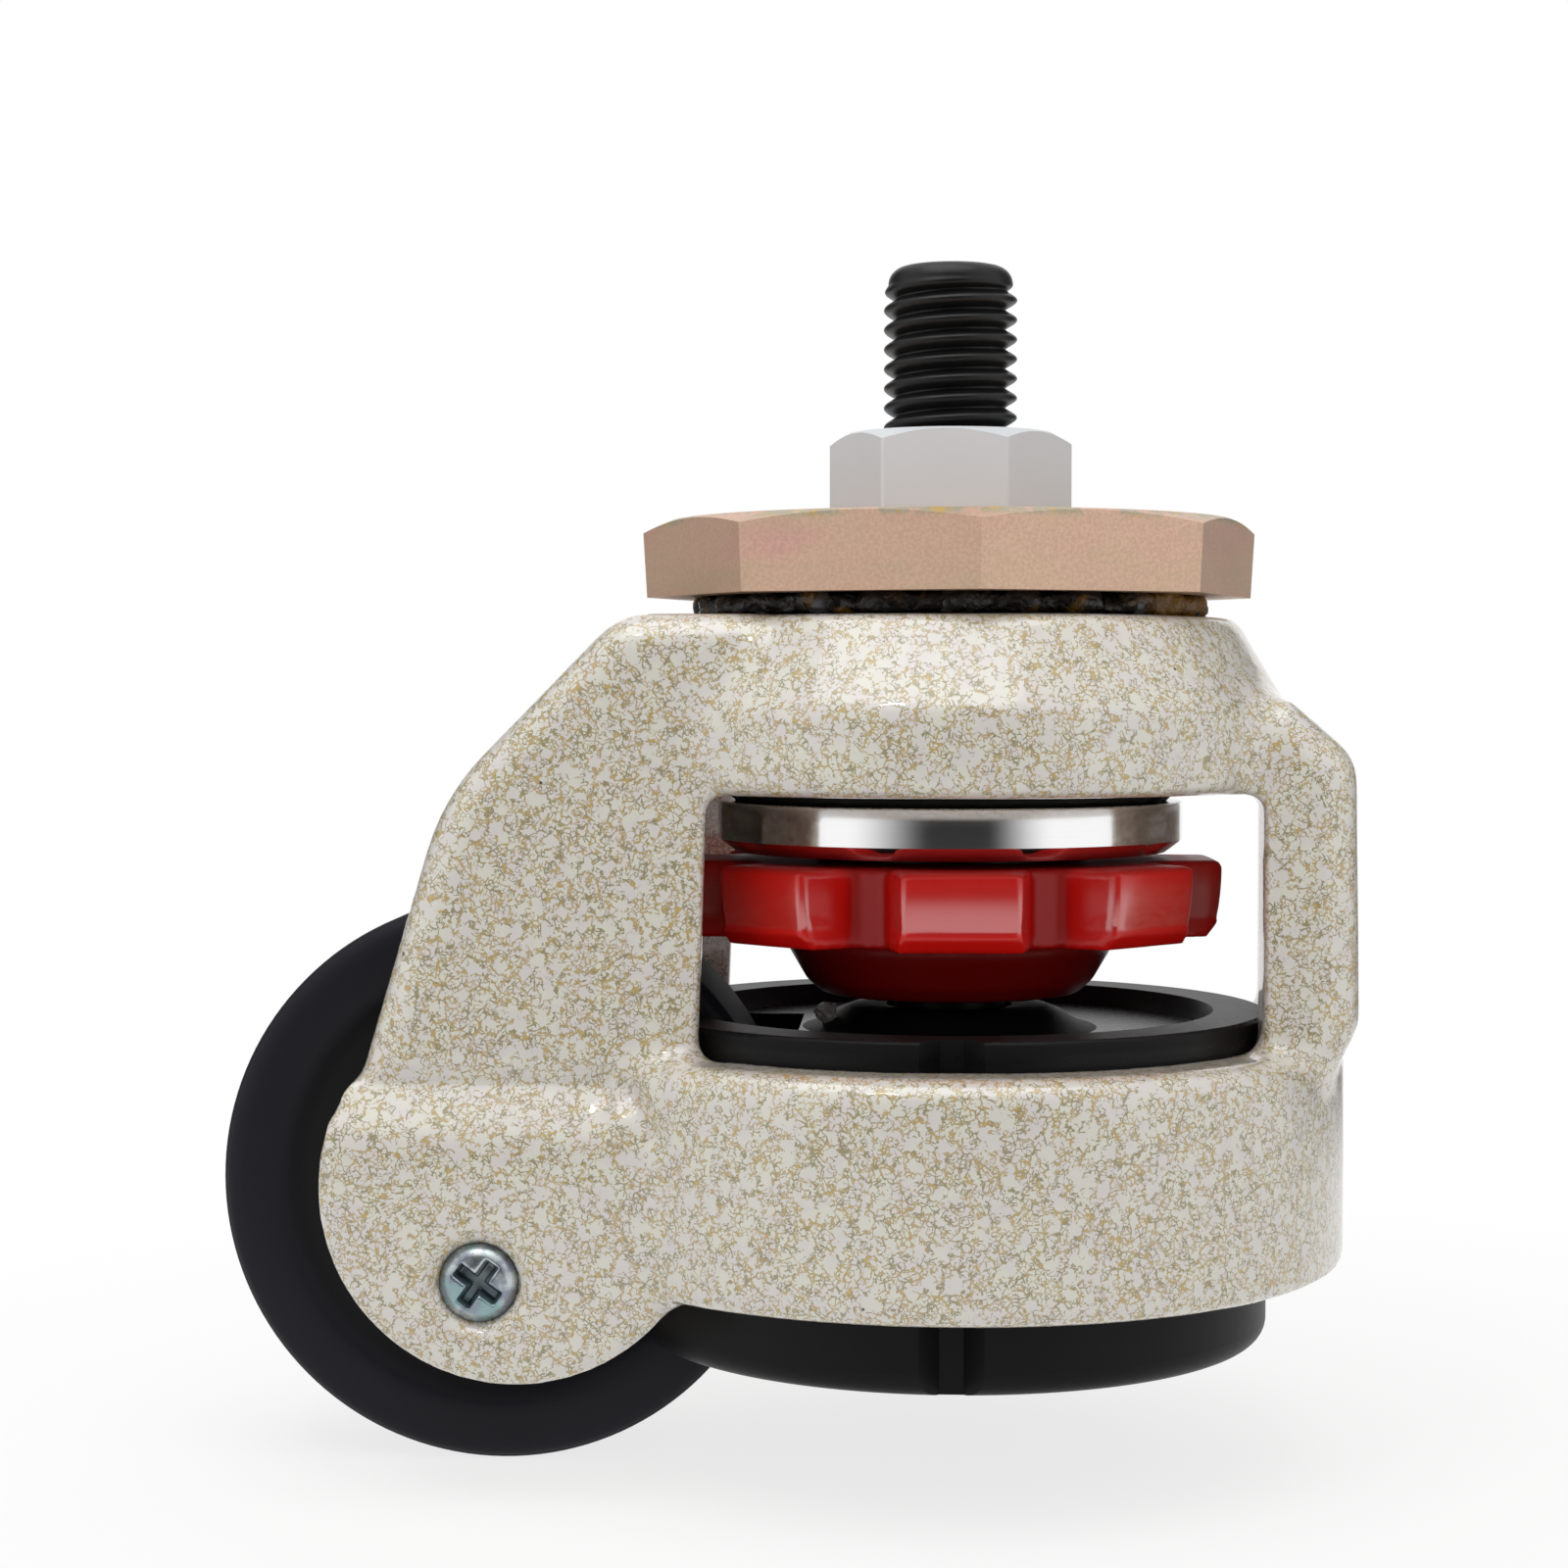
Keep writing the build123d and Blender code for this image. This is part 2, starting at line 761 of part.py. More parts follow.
with BuildPart() as thumbwheel:
    with BuildSketch(floor_plane(dial_bottom)) as lobe_outline:
        with PolarLocations(0, lobe_count, start_angle=lobe_turn):
            Polygon(
                (0, 0),
                valley_point(-1, 0),
                valley_point(-1, valley_half_width),
                (lobe_reach, -lobe_half_width),
                (lobe_reach, lobe_half_width),
                valley_point(1, valley_half_width),
                valley_point(1, 0),
                align=None,
            )
        outer_corners = lobe_outline.vertices().filter_by(
            lambda corner: corner.distance_to((0, 0, corner.Z)) > valley_reach + 3
        )
        fillet(outer_corners, radius=lobe_corner_rounding)
    extrude(amount=dial_top - dial_bottom)
    fillet(thumbwheel.faces().sort_by(Axis.Z)[-1].edges(), radius=lobe_rim_rounding)
    # a flared octagon trims the foot of each lobe's face to a slope
    with BuildSketch(floor_plane(dial_bottom)):
        RegularPolygon(
            radius=lobe_foot_reach,
            side_count=lobe_count,
            major_radius=False,
            rotation=lobe_turn + degrees(half_pitch),
        )
    extrude(amount=dial_top - dial_bottom, taper=-lobe_foot_taper, mode=Mode.INTERSECT)
    with BuildSketch(Plane.XZ) as cone_section:
        with BuildLine():
            Polyline(
                *at_levels([
                    (0, dial_bottom + 1),
                    (cone_root_radius, dial_bottom + 1),
                    cone_side,
                    cone_knee,
                    cone_foot,
                    (0, cone_bottom),
                ]),
                close=True,
            )
        make_face()
        fillet(corner_near(cone_section, *cone_knee), radius=cone_rounding)
        fillet(corner_near(cone_section, *cone_foot), radius=cone_rounding)
    revolve(axis=Axis.Z)
    with BuildSketch(floor_plane(nut_body_bottom)):
        Circle(nut_body_radius)
    extrude(amount=dial_top - nut_body_bottom, mode=Mode.SUBTRACT)
    with BuildSketch(floor_plane(cone_bottom)):
        Circle(lift_radius + screw_clearance)
    extrude(amount=dial_top - cone_bottom, mode=Mode.SUBTRACT)
thumbwheel.part.label = "thumbwheel"
export_step(thumbwheel.part, "parts/thumbwheel.step")

# ---- threaded insert of the thumbwheel, held in the king pin by a clip --------------------------------

dial_clip_radius = 8.3
dial_clip_gap = 3.0

with BuildPart() as dial_nut:
    with BuildSketch(Plane.XZ):
        with BuildLine():
            Polyline(
                *at_levels([
                    (lift_radius + running_gap, nut_body_bottom),
                    (nut_body_radius, nut_body_bottom),
                    (nut_body_radius, dial_top),
                    (nut_neck_radius, dial_top),
                    (nut_neck_radius, clip_bottom),
                    (clip_groove_radius, clip_bottom),
                    (clip_groove_radius, clip_bottom + clip_thickness),
                    (nut_neck_radius, clip_bottom + clip_thickness),
                    (nut_neck_radius, nut_neck_top),
                    (lift_radius + running_gap, nut_neck_top),
                ]),
                close=True,
            )
        make_face()
    revolve(axis=Axis.Z)
dial_nut.part.label = "dial_nut"
export_step(dial_nut.part, "parts/dial_nut.step")

with BuildPart() as dial_clip:
    with BuildSketch(floor_plane(clip_bottom)):
        Circle(dial_clip_radius)
        Circle(clip_groove_radius, mode=Mode.SUBTRACT)
        with Locations((dial_clip_radius, 0)):
            Rectangle(dial_clip_radius, dial_clip_gap, mode=Mode.SUBTRACT)
    extrude(amount=clip_thickness)
dial_clip.part.label = "dial_clip"
export_step(dial_clip.part, "parts/dial_clip.step")

# ---- pad and its sole ---------------------------------------------------------------------------------

cup_bottom = 22.0
recess_wall_draft = 0.7
pad_foot_rounding = 2.0
pad_rim_rounding = 0.4
notch_floor_radius = 26.4
notch_floor_half_width = 1.0
notch_mouth_radius = pad_radius + 0.5
notch_mouth_half_width = 3.25

with BuildPart() as lift_pad:
    with BuildSketch(Plane.XZ) as pad_section:
        with BuildLine():
            Polyline(
                *at_levels([
                    (0, pad_bottom + sole_thickness),
                    (sole_radius, pad_bottom + sole_thickness),
                    (sole_radius, pad_bottom),
                    (pad_radius, pad_bottom),
                    (pad_radius, pad_top),
                    (pad_recess_radius, pad_top),
                    (pad_recess_radius - recess_wall_draft, pad_floor),
                    (cup_radius, pad_floor),
                    (cup_radius, cup_bottom),
                    (0, cup_bottom),
                ]),
                close=True,
            )
        make_face()
        fillet(corner_near(pad_section, pad_radius, pad_bottom), radius=pad_foot_rounding)
        fillet(corner_near(pad_section, pad_radius, pad_top), radius=pad_rim_rounding)
    revolve(axis=Axis.Z)
    # a groove down each side, for the housing's guide ribs
    with BuildSketch(floor_plane(pad_bottom)):
        with BuildLine():
            Polyline(
                (-notch_mouth_half_width, notch_mouth_radius),
                (-notch_floor_half_width, notch_floor_radius),
                (notch_floor_half_width, notch_floor_radius),
                (notch_mouth_half_width, notch_mouth_radius),
                close=True,
            )
        make_face()
        mirror(about=Plane.XZ)
    extrude(amount=pad_top - pad_bottom, mode=Mode.SUBTRACT)
    # slot for the wheel
    with BuildSketch(floor_plane(pad_bottom)):
        with Locations((slot_end, 0)):
            Rectangle(pad_radius, 2 * slot_half_width, align=(Align.MAX, Align.CENTER))
    extrude(amount=pad_top - pad_bottom, mode=Mode.SUBTRACT)
lift_pad.part.label = "lift_pad"
export_step(lift_pad.part, "parts/lift_pad.step")

with BuildPart() as pad_sole:
    with BuildSketch(floor_plane(pad_bottom)):
        Circle(sole_radius)
        with Locations((slot_end, 0)):
            Rectangle(
                pad_radius,
                2 * slot_half_width,
                align=(Align.MAX, Align.CENTER),
                mode=Mode.SUBTRACT,
            )
    extrude(amount=sole_thickness)
pad_sole.part.label = "pad_sole"
export_step(pad_sole.part, "parts/pad_sole.step")

# ---- ball socket in the pad, and the levelling screw --------------------------------------------------

socket_clip_hole_radius = 6.25
socket_clip_gap = 4.0
seal_hole_radius = 5.65
seal_top = 40.2
seal_rounding = 0.6
screw_tip_chamfer = 0.8

with BuildPart() as socket_cup:
    with BuildSketch(floor_plane(cup_bottom)):
        Circle(cup_radius)
    extrude(amount=cup_shoulder - cup_bottom)
    with Locations((0, 0, level(ball_end_height))):
        Sphere(ball_end_radius, mode=Mode.SUBTRACT)
    with BuildSketch(floor_plane(ball_end_height)):
        Circle(ball_end_radius)
    extrude(amount=cup_shoulder - ball_end_height, mode=Mode.SUBTRACT)
socket_cup.part.label = "socket_cup"
export_step(socket_cup.part, "parts/socket_cup.step")

with BuildPart() as lift_screw:
    with Locations((0, 0, level(ball_end_height))):
        Sphere(ball_end_radius)
    with BuildSketch(floor_plane(ball_end_height)):
        Circle(lift_radius)
    extrude(amount=lift_screw_top - ball_end_height)
    chamfer(lift_screw.edges().group_by(Axis.Z)[-1], length=screw_tip_chamfer)
lift_screw.part.label = "lift_screw"
export_step(lift_screw.part, "parts/lift_screw.step")

with BuildPart() as socket_clip:
    with BuildSketch(floor_plane(cup_shoulder)):
        Circle(cup_radius)
        Circle(socket_clip_hole_radius, mode=Mode.SUBTRACT)
        with Locations((0, cup_radius)):
            Rectangle(socket_clip_gap, cup_radius, mode=Mode.SUBTRACT)
    extrude(amount=pad_floor - cup_shoulder)
socket_clip.part.label = "socket_clip"
export_step(socket_clip.part, "parts/socket_clip.step")

with BuildPart() as screw_seal:
    with BuildSketch(floor_plane(pad_floor)):
        Circle(cup_radius)
        Circle(seal_hole_radius, mode=Mode.SUBTRACT)
    extrude(amount=seal_top - pad_floor)
    top_edges = screw_seal.edges().group_by(Axis.Z)[-1]
    fillet(top_edges.sort_by(SortBy.LENGTH)[-1], radius=seal_rounding)
screw_seal.part.label = "screw_seal"
export_step(screw_seal.part, "parts/screw_seal.step")
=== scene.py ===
"""Looks of the levelling castor: enamel, black nylon, red plastic, zinc and steel."""

from math import atan2, cos, exp, hypot, pi, radians, sin

import bmesh
import bpy
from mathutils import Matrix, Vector, noise


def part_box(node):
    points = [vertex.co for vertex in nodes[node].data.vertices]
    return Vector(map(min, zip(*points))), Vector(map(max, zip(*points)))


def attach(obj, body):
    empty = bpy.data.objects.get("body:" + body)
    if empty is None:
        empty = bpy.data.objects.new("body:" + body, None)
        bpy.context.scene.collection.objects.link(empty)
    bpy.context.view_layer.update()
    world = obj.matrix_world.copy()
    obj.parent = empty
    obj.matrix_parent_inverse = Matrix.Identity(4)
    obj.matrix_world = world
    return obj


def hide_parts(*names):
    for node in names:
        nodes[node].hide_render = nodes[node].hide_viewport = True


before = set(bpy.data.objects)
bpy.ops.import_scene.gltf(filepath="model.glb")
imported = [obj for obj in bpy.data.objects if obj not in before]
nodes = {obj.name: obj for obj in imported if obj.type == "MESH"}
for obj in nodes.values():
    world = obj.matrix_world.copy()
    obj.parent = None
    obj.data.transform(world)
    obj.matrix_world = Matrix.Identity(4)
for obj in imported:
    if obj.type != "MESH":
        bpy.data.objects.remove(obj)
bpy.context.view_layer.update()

MM = 0.001

# ---- places read from the frame --------------------------------------------------------

wheel_low, wheel_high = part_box("wheel")
floor_z = wheel_low.z
wheel_centre = (wheel_low + wheel_high) / 2
bush_low, bush_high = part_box("wheel_bush")
race_low, race_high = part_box("lower_race")
stem_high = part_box("stem_stud")[1]
nut_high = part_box("stem_nut")[1]
plate_low, plate_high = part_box("swivel_plate")
track_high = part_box("upper_track")[1]
dial_low, dial_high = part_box("thumbwheel")
seal_low, seal_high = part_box("screw_seal")
screw_low, screw_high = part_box("axle_screw_near")
screw_centre = (screw_low + screw_high) / 2

# the swivel axis, and the directions that a ring round it is turned from
swivel_centre = Vector((0, 0, 0))
upward = Vector((0, 0, 1))
forward = Vector((1, 0, 0))
along_axle = Vector((0, 1, 0))


def height(z):
    """Height above the floor, in millimetres."""
    return (z - floor_z) / MM


def held(value, low=0.0, high=1.0):
    """A number held between two limits."""
    return min(max(value, low), high)


# ---- shader expressions ----------------------------------------------------------------

class Value:
    """A shader socket. Arithmetic on it adds the Math nodes that work it out."""

    def __init__(self, shading, socket):
        self.shading = shading
        self.socket = socket

    def math(self, operation, *others):
        node = self.shading.make("ShaderNodeMath", {"operation": operation})
        for slot, item in zip(node.inputs, (self, *others)):
            self.shading.feed(slot, item)
        return Value(self.shading, node.outputs[0])

    def reflected(self, operation, other):
        node = self.shading.make("ShaderNodeMath", {"operation": operation})
        self.shading.feed(node.inputs[0], other)
        self.shading.feed(node.inputs[1], self)
        return Value(self.shading, node.outputs[0])

    def __add__(self, other):
        return self.math("ADD", other)

    __radd__ = __add__

    def __mul__(self, other):
        return self.math("MULTIPLY", other)

    __rmul__ = __mul__

    def __sub__(self, other):
        return self.math("SUBTRACT", other)

    def __rsub__(self, other):
        return self.reflected("SUBTRACT", other)

    def __abs__(self):
        return self.math("ABSOLUTE")

    def larger(self, other):
        return self.math("MAXIMUM", other)

    def ramp(self, low, high):
        """0 at low and below, 1 at high and above, smooth between; low may be the larger."""
        node = self.shading.make(
            "ShaderNodeMapRange",
            {"interpolation_type": "SMOOTHSTEP"},
            {"Value": self, "From Min": low, "From Max": high},
        )
        return Value(self.shading, node.outputs["Result"])


class Shading:
    """A node tree whose patterns read Object coordinates."""

    def __init__(self, tree):
        self.tree = tree
        self.place = Value(self, self.make("ShaderNodeTexCoord").outputs["Object"])

    def feed(self, slot, item):
        if isinstance(item, Value):
            self.tree.links.new(item.socket, slot)
        else:
            slot.default_value = item

    def make(self, kind, settings=(), inputs=()):
        """Any node: its type, its settings, then the values or links of its sockets."""
        node = self.tree.nodes.new(kind)
        for key, value in dict(settings).items():
            setattr(node, key, value)
        for key, value in dict(inputs).items():
            self.feed(node.inputs[key], value)
        return node

    def noise(self, scale, detail=2.0, roughness=0.5, distortion=0.0, place=None):
        node = self.make(
            "ShaderNodeTexNoise",
            {"noise_dimensions": "3D"},
            {
                "Vector": place or self.place,
                "Scale": scale,
                "Detail": detail,
                "Roughness": roughness,
                "Distortion": distortion,
            },
        )
        return Value(self, node.outputs["Fac"])

    def cells(self, scale, feature="F1", place=None):
        node = self.make(
            "ShaderNodeTexVoronoi",
            {"feature": feature},
            {"Vector": place or self.place, "Scale": scale},
        )
        return Value(self, node.outputs["Distance"])

    def moved(self, location=(0, 0, 0), scale=(1, 1, 1)):
        node = self.make(
            "ShaderNodeMapping",
            {"vector_type": "POINT"},
            {"Vector": self.place, "Location": location, "Scale": scale},
        )
        return Value(self, node.outputs["Vector"])

    def mix(self, factor, first, second):
        node = self.make("ShaderNodeMix", {"data_type": "RGBA"})
        self.feed(node.inputs["Factor"], factor)
        self.feed(node.inputs[6], first)
        self.feed(node.inputs[7], second)
        return Value(self, node.outputs[2])

    def axis(self, letter):
        node = self.make("ShaderNodeSeparateXYZ", (), {"Vector": self.place})
        return Value(self, node.outputs[letter])


class Finish(Shading):
    """A material with a Principled shader."""

    def __init__(self, name, **constants):
        self.material = bpy.data.materials.new(name)
        self.material.use_nodes = True
        super().__init__(self.material.node_tree)
        self.shader = self.tree.nodes["Principled BSDF"]
        self.set(**constants)

    def set(self, **inputs):
        for key, value in inputs.items():
            self.feed(self.shader.inputs[key.replace("_", " ")], value)

    def bump(self, rise, distance, strength=1.0):
        node = self.make(
            "ShaderNodeBump", (), {"Height": rise, "Distance": distance, "Strength": strength}
        )
        self.set(Normal=Value(self, node.outputs["Normal"]))


def colour(red, green, blue):
    """An sRGB colour, 0 to 255, as the linear value that a shader takes."""
    channels = [value / 255 for value in (red, green, blue)]
    linear = [c / 12.92 if c <= 0.04045 else ((c + 0.055) / 1.055) ** 2.4 for c in channels]
    return (*linear, 1.0)


# ---- finishes --------------------------------------------------------------------------

def ivory_enamel():
    """Gloss ivory paint with a crackle net of fine olive strokes, gold where they run together."""
    f = Finish("ivory_enamel", Roughness=0.35, Coat_Weight=1.0, Coat_Roughness=0.05)
    warp = f.noise(1500, detail=1)
    clear = (f.cells(600) + (warp - 0.5) * 0.7).ramp(0.36, 0.30)
    bend_reach = 0.6 * MM
    strokes = cores = None
    for shift, scale in ((0.0, 1150), (0.031, 1500), (0.057, 1900)):
        bend = f.make(
            "ShaderNodeTexNoise",
            {"noise_dimensions": "3D"},
            {"Vector": f.place, "Scale": 0.9 * scale, "Detail": 2.0},
        )
        bent = f.make(
            "ShaderNodeVectorMath",
            {"operation": "MULTIPLY_ADD"},
            {
                0: Value(f, bend.outputs["Color"]),
                1: (bend_reach,) * 3,
                2: f.moved(location=(shift, shift, -shift)),
            },
        )
        edge = f.cells(scale, "DISTANCE_TO_EDGE", place=Value(f, bent.outputs["Vector"]))
        gaps = f.noise(1600, detail=1, place=f.moved(location=(-shift, 0.017, shift)))
        broken = gaps.ramp(0.465, 0.51)
        stroke = edge.ramp(0.066, 0.044) * broken
        core = edge.ramp(0.045, 0.022) * broken
        strokes = strokes.larger(stroke) if strokes else stroke
        cores = cores.larger(core) if cores else core
    strokes = strokes * (1 - clear)
    tone = f.noise(500, detail=1).ramp(0.35, 0.65)
    base = f.mix(tone, colour(224, 221, 209), colour(221, 215, 211))
    gold = f.noise(1100, detail=1).ramp(0.38, 0.58)
    ink = f.mix(cores * (gold * 0.75 + 0.25), colour(136, 132, 100), colour(200, 168, 96))
    base = f.mix(strokes * 0.95, base, ink)
    specks = f.cells(210).ramp(0.045, 0.035) * f.noise(90, detail=0).ramp(0.55, 0.6)
    base = f.mix(specks * 0.9, base, colour(40, 38, 36))
    f.set(Base_Color=base)
    f.bump(f.noise(160, detail=1) + strokes * 0.1, 0.00004, 0.5)
    return f.material


def yellow_zinc():
    """Yellow-passivated zinc plating: peach and tan with soft pink, green and gold tints."""
    f = Finish("yellow_zinc", Metallic=0.45, Roughness=0.42)
    drift = f.noise(75, detail=3, roughness=0.6)
    base = f.mix(drift.ramp(0.35, 0.65), colour(222, 184, 160), colour(220, 188, 160))
    bands = f.moved(scale=(0.5, 0.5, 1.6))
    pink = f.noise(120, detail=2, place=bands).ramp(0.5, 0.7)
    base = f.mix(pink * 0.4, base, colour(222, 158, 160))
    green = f.noise(150, detail=3, place=bands).ramp(0.48, 0.68)
    base = f.mix(green * 0.22, base, colour(170, 178, 130))
    flat_top = f.axis("Z").ramp(plate_high.z - 0.08 * MM, plate_high.z - 0.03 * MM)
    rim = f.axis("Z").ramp(plate_high.z - 0.9 * MM, plate_high.z - 0.2 * MM) * (1 - flat_top * 0.65)
    worn = f.noise(420, detail=3, roughness=0.6)
    base = f.mix(rim * worn.ramp(0.42, 0.52) * 0.8, base, colour(168, 172, 150))
    base = f.mix(rim * worn.ramp(0.55, 0.62) * 0.85, base, colour(222, 180, 84))
    grain = f.noise(3600, detail=1)
    base = f.mix(grain.ramp(0.3, 0.7) * 0.22, base, colour(156, 122, 102))
    f.set(Base_Color=base, Roughness=0.36 + grain * 0.14)
    f.bump(grain, 0.00002, 0.35)
    return f.material


def grey_zinc():
    """Matt pale grey zinc."""
    f = Finish("grey_zinc", Metallic=0.1, Roughness=0.5)
    cloud = f.noise(220, detail=3)
    f.set(Base_Color=f.mix(cloud, colour(217, 220, 224), colour(221, 224, 227)))
    f.bump(f.noise(2400, detail=1), 0.00001, 0.3)
    return f.material


def blue_zinc():
    """Blue-passivated zinc on small screws, with painted shade deep in the cross recess."""
    f = Finish("blue_zinc", Metallic=0.85, Roughness=0.24)
    cloud = f.noise(600, detail=3)
    teal = f.noise(260, detail=2).ramp(0.42, 0.58)
    bright = f.mix(teal, colour(206, 214, 216), colour(150, 178, 180))
    base = f.mix(cloud.ramp(0.40, 0.62), colour(140, 146, 160), bright)
    # painted shade: the cross recess is darkened towards its floor, from 0.75 mm below the head's face
    head_face = -screw_low.y
    sunk = abs(f.axis("Y")).ramp(head_face - 0.75 * MM, head_face - 1.3 * MM)
    f.set(Base_Color=f.mix(sunk * 0.75, base, colour(58, 68, 70)), Roughness=0.16 + cloud * 0.2)
    f.bump(f.noise(2600, detail=2), 0.00002, 0.4)
    return f.material


def ground_steel(name, tone=170, roughness=0.3):
    """Steel with fine turning marks round the swivel axis."""
    f = Finish(name, Metallic=1.0, Roughness=roughness)
    marks = f.noise(900, detail=2, place=f.moved(scale=(0.15, 0.15, 6.0)))
    dark = colour(tone - 12, tone - 12, tone - 10)
    light = colour(tone + 14, tone + 14, tone + 16)
    f.set(Base_Color=f.mix(marks, dark, light), Roughness=roughness * 0.8 + marks * 0.12)
    return f.material


def bright_steel():
    """Mirror-turned steel with a slight haze in rings."""
    f = Finish("bright_steel", Metallic=1.0, Roughness=0.12)
    marks = f.noise(700, detail=2, place=f.moved(scale=(0.1, 0.1, 8.0)))
    f.set(
        Base_Color=f.mix(marks, colour(246, 246, 247), colour(252, 252, 252)),
        Roughness=0.10 + marks * 0.05,
    )
    return f.material


def red_gloss():
    """Moulded red plastic, polished by use on the lobes, with painted shade between them and on the
    cone.
    """
    f = Finish("red_gloss", Specular_IOR_Level=0.35, Coat_Roughness=0.1, Coat_IOR=2.3)
    spread = f.make("ShaderNodeVectorMath", {"operation": "LENGTH"}, {0: f.moved(scale=(1, 1, 0))})
    radius = Value(f, spread.outputs["Value"])
    rise = f.axis("Z")
    drift = f.noise(120, detail=2)
    base = f.mix(drift, colour(212, 20, 12), colour(200, 14, 10))
    # painted shade: the valleys between the lobes are darkened
    base = f.mix(radius.ramp(20.6 * MM, 19.4 * MM) * 0.7, base, colour(132, 10, 8))
    # painted shade: the cone under the lobes is darkened
    base = f.mix(rise.ramp(dial_high.z - 6.6 * MM, dial_high.z - 7.8 * MM) * 0.6, base, colour(84, 8, 8))
    lobe = radius.ramp(20.8 * MM, 22.2 * MM)
    face = rise.ramp(dial_high.z - 0.5 * MM, dial_high.z - 3.0 * MM)
    flank = rise.ramp(dial_high.z - 5.3 * MM, dial_high.z - 4.8 * MM)
    top = rise.ramp(dial_high.z - 0.6 * MM, dial_high.z - 0.1 * MM)
    f.set(
        Base_Color=base,
        Roughness=0.26 + top * 0.16 + f.noise(900, detail=2) * 0.12,
        Coat_Weight=lobe * (0.15 + face * 0.85) * (0.08 + flank * 0.92),
    )
    f.bump(f.noise(1500, detail=1), 0.00001, 0.3)
    return f.material


def black_nylon(name="black_nylon", roughness=0.3, sheen_level=0.2):
    """Moulded black nylon, satin, with faint flow marks."""
    f = Finish(name, Roughness=roughness, Specular_IOR_Level=sheen_level)
    drift = f.noise(90, detail=3)
    f.set(
        Base_Color=f.mix(drift, colour(14, 14, 15), colour(19, 19, 20)),
        Roughness=roughness - 0.05 + f.noise(1500, detail=2) * 0.1,
    )
    f.bump(f.noise(1800, detail=1), 0.00001, 0.3)
    return f.material


def wheel_nylon():
    """The wheel's black nylon, blue-black and satin on the tyre band, duller inside, where the web also
    carries painted shade.
    """
    f = Finish("wheel_nylon", Specular_IOR_Level=0.12)
    spoke = f.moved(location=(-wheel_centre.x, 0, -wheel_centre.z), scale=(1, 0, 1))
    spread = f.make("ShaderNodeVectorMath", {"operation": "LENGTH"}, {0: spoke})
    radius = Value(f, spread.outputs["Value"])
    # painted shade: inside the tyre band the recessed web is darker and greyer than the band; the same
    # mask makes it rougher
    inside = radius.ramp(19.4 * MM, 18.0 * MM)
    tread = radius.ramp(24.5 * MM, 24.8 * MM)
    drift = f.noise(90, detail=3)
    tyre = f.mix(drift, colour(30, 29, 34), colour(36, 35, 41))
    f.set(
        Base_Color=f.mix(inside, tyre, colour(29, 29, 30)),
        Roughness=0.3 + inside * 0.2 + tread * 0.35 + f.noise(1500, detail=2) * 0.08,
    )
    f.bump(f.noise(1800, detail=1), 0.00001, 0.3)
    return f.material


def pad_nylon():
    """The pad's black nylon, with a film of grease on the floor of its recess."""
    f = Finish("pad_nylon", Specular_IOR_Level=0.12)
    wet = f.axis("Z").ramp(seal_low.z + 0.9 * MM, seal_low.z + 0.3 * MM)
    wet = wet * f.axis("Z").ramp(seal_low.z - 0.6 * MM, seal_low.z - 0.2 * MM)
    drift = f.noise(90, detail=3)
    f.set(
        Base_Color=f.mix(drift, colour(18, 18, 19), colour(24, 24, 25)),
        Roughness=0.36 - wet * 0.12 + f.noise(1500, detail=2) * 0.08,
        Coat_Weight=wet * 0.06,
        Coat_Roughness=0.15,
    )
    f.bump(f.noise(1800, detail=1), 0.00001, 0.1)
    return f.material


def black_oxide():
    """Blackened steel on the threaded stem."""
    f = Finish("black_oxide", Roughness=0.36, Specular_IOR_Level=0.3)
    cloud = f.noise(500, detail=3)
    f.set(
        Base_Color=f.mix(cloud, colour(14, 14, 14), colour(22, 22, 22)),
        Roughness=0.30 + cloud * 0.14,
    )
    f.bump(f.noise(3000, detail=1), 0.00001, 0.3)
    return f.material


def dark_grease():
    """Bearing grease, almost black, with amber in patches and more of it towards the right end, at +X.
    """
    f = Finish("dark_grease", Specular_IOR_Level=0.3, Coat_Weight=0.3, Coat_Roughness=0.04)
    amber = f.noise(240, detail=3, distortion=0.6).ramp(0.55, 0.68)
    # amber in noise patches, and rising towards the right end, at +X
    amber_mask = (amber * 0.7).larger(f.axis("X").ramp(15.5 * MM, 18.5 * MM) * 0.85)
    base = f.mix(amber_mask, colour(11, 10, 8), colour(132, 94, 26))
    f.set(Base_Color=base, Roughness=0.06 + f.noise(900, detail=2) * 0.2)
    f.bump(f.noise(750, detail=3, distortion=1.2), 0.0006, 1.0)
    return f.material


def glint_grease():
    """Wet grease, its pale colour a painted glint."""
    f = Finish("glint_grease", Coat_Weight=1.0, Coat_Roughness=0.03)
    cloud = f.noise(900, detail=2)
    # painted highlight: the grey to near-white colour stands in for a silvery glint on the dab
    f.set(
        Base_Color=f.mix(cloud, colour(96, 92, 90), colour(214, 212, 210)),
        Roughness=0.15 + cloud * 0.1,
    )
    f.bump(f.noise(1200, detail=2), 0.0002, 0.8)
    return f.material


def turned_brass():
    """Brass with fine turning marks."""
    f = Finish("turned_brass", Metallic=1.0, Roughness=0.25)
    marks = f.noise(800, detail=2, place=f.moved(scale=(0.2, 0.2, 5.0)))
    f.set(Base_Color=f.mix(marks, colour(196, 160, 84), colour(214, 180, 104)))
    return f.material


enamel = ivory_enamel()
steel = ground_steel("ground_steel")
rubber = black_nylon("black_rubber", roughness=0.6)
zinc_screw = blue_zinc()
oxide = black_oxide()
grease = dark_grease()

